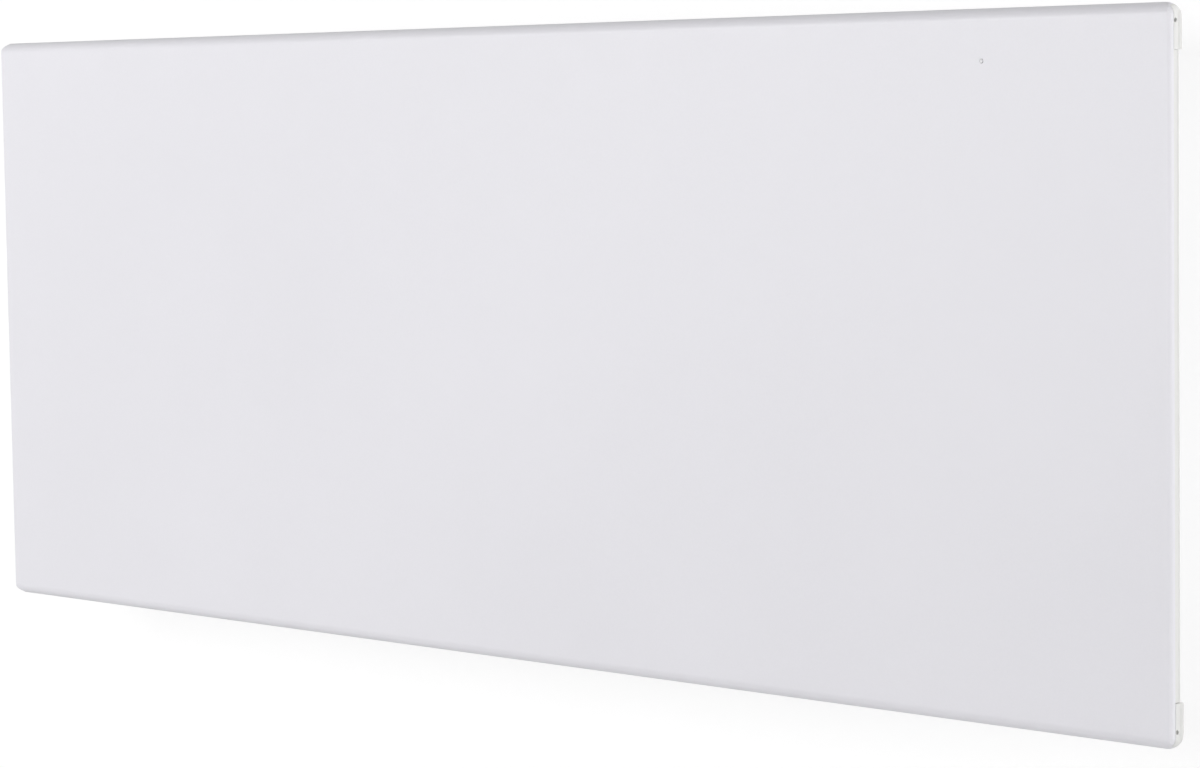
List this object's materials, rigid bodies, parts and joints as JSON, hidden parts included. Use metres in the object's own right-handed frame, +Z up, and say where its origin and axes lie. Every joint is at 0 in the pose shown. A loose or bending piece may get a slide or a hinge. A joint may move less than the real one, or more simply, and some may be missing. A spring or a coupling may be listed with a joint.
{
  "type": "wall convector heater",
  "caption": "Flat white wall convector heater: pressed front panel with moulded ends, slotted casing, finned element, controls, and a hook-on wall bracket.",
  "frame": {"origin": "centre of the wall bracket's face on the wall, at mid-height of the front panel", "axes": "+X along the wall to the right as the front is seen, +Y into the wall, +Z up"},
  "size_m": [1.025, 0.0852, 0.4],
  "materials": {
    "panel_paint": "white powder coat, satin",
    "case_paint": "white powder coat, satin",
    "white_moulding": "white moulded plastic, matt",
    "galvanised": "galvanised sheet",
    "element_alloy": "extruded, mill finish",
    "rod_steel": "heat-tinted sheath",
    "white_ceramic": null,
    "black_moulding": "black moulded plastic",
    "smoked_window": "smoked clear moulding",
    "light_pipe": "dark translucent light pipe",
    "circuit_board": "green laminate",
    "brass_metal": "machined",
    "red_wire": "brown insulated wire",
    "blue_wire": "blue insulated wire",
    "grey_wire": "grey insulated wire",
    "steel_fastener": "zinc plated",
    "spring_steel": "sprung strip",
    "buffer_rubber": "black rubber",
    "button_plastic": "light grey moulded plastic"
  },
  "bodies": {
    "bracket": {"wall_bracket": "galvanised", "hook_arms": "galvanised", "spring_clips": "spring_steel", "stop_buffers": "buffer_rubber"},
    "heater": {"front_panel": "panel_paint", "corner_cap_top_right": "white_moulding", "corner_cap_top_left": "white_moulding", "corner_cap_bottom_right": "white_moulding", "corner_cap_bottom_left": "white_moulding", "side_rail_right": "white_moulding", "side_rail_left": "white_moulding", "stiffener_right": "galvanised", "stiffener_left": "galvanised", "indicator_lens": "light_pipe", "rear_casing": "case_paint", "cheek_left": "case_paint", "cheek_right": "case_paint", "outlet_grille": "case_paint", "inlet_grille": "case_paint", "partition": "galvanised", "reflector": "galvanised", "front_shield": "galvanised", "element_profile": "element_alloy", "heating_rod": "rod_steel", "cold_pins": "steel_fastener", "bush_left": "white_ceramic", "bush_right": "white_ceramic", "element_bracket_left": "galvanised", "element_bracket_right": "galvanised", "overheat_cutout": "black_moulding", "cutout_clip": "galvanised", "control_housing": "white_moulding", "control_cover": "white_moulding", "display_window": "smoked_window", "display_module": "black_moulding", "control_board": "circuit_board", "indicator_led": "light_pipe", "power_board": "circuit_board", "relay": "black_moulding", "tact_switches": "black_moulding", "rocker_body": "black_moulding", "gland_body": "black_moulding", "gland_cap": "black_moulding", "gland_nut": "black_moulding", "terminal_block": "white_moulding", "earth_stud": "brass_metal", "room_sensor": "black_moulding", "sensor_clip": "white_moulding", "sensor_lead": "grey_wire", "wire_neutral": "blue_wire", "wire_element": "red_wire", "wires_supply": "red_wire", "casing_screws": "steel_fastener", "support_brackets": "galvanised", "support_pins": "steel_fastener", "clip_blades": "galvanised"},
    "rocker": {"rocker": "black_moulding"},
    "minus": {"button_minus": "button_plastic"},
    "mode": {"button_mode": "button_plastic"},
    "plus": {"button_plus": "button_plastic"}
  },
  "joints": [
    {"name": "heater_tilt", "type": "hinge", "parent": "bracket", "child": "heater", "pos_m": [0, -0.021, -0.15], "axis": [1, 0, 0], "range_deg": [0, 30]},
    {"name": "rocker_tip", "type": "hinge", "parent": "heater", "child": "rocker", "pos_m": [0.461, -0.052, 0.03], "axis": [0, 1, 0], "range_deg": [0, 14]},
    {"name": "minus_press", "type": "slide", "parent": "heater", "child": "minus", "axis": [0, 0, -1], "range_m": [0, 0.0008], "stiffness_N_per_m": 400},
    {"name": "mode_press", "type": "slide", "parent": "heater", "child": "mode", "axis": [0, 0, -1], "range_m": [0, 0.0008], "stiffness_N_per_m": 400},
    {"name": "plus_press", "type": "slide", "parent": "heater", "child": "plus", "axis": [0, 0, -1], "range_m": [0, 0.0008], "stiffness_N_per_m": 400}
  ]
}
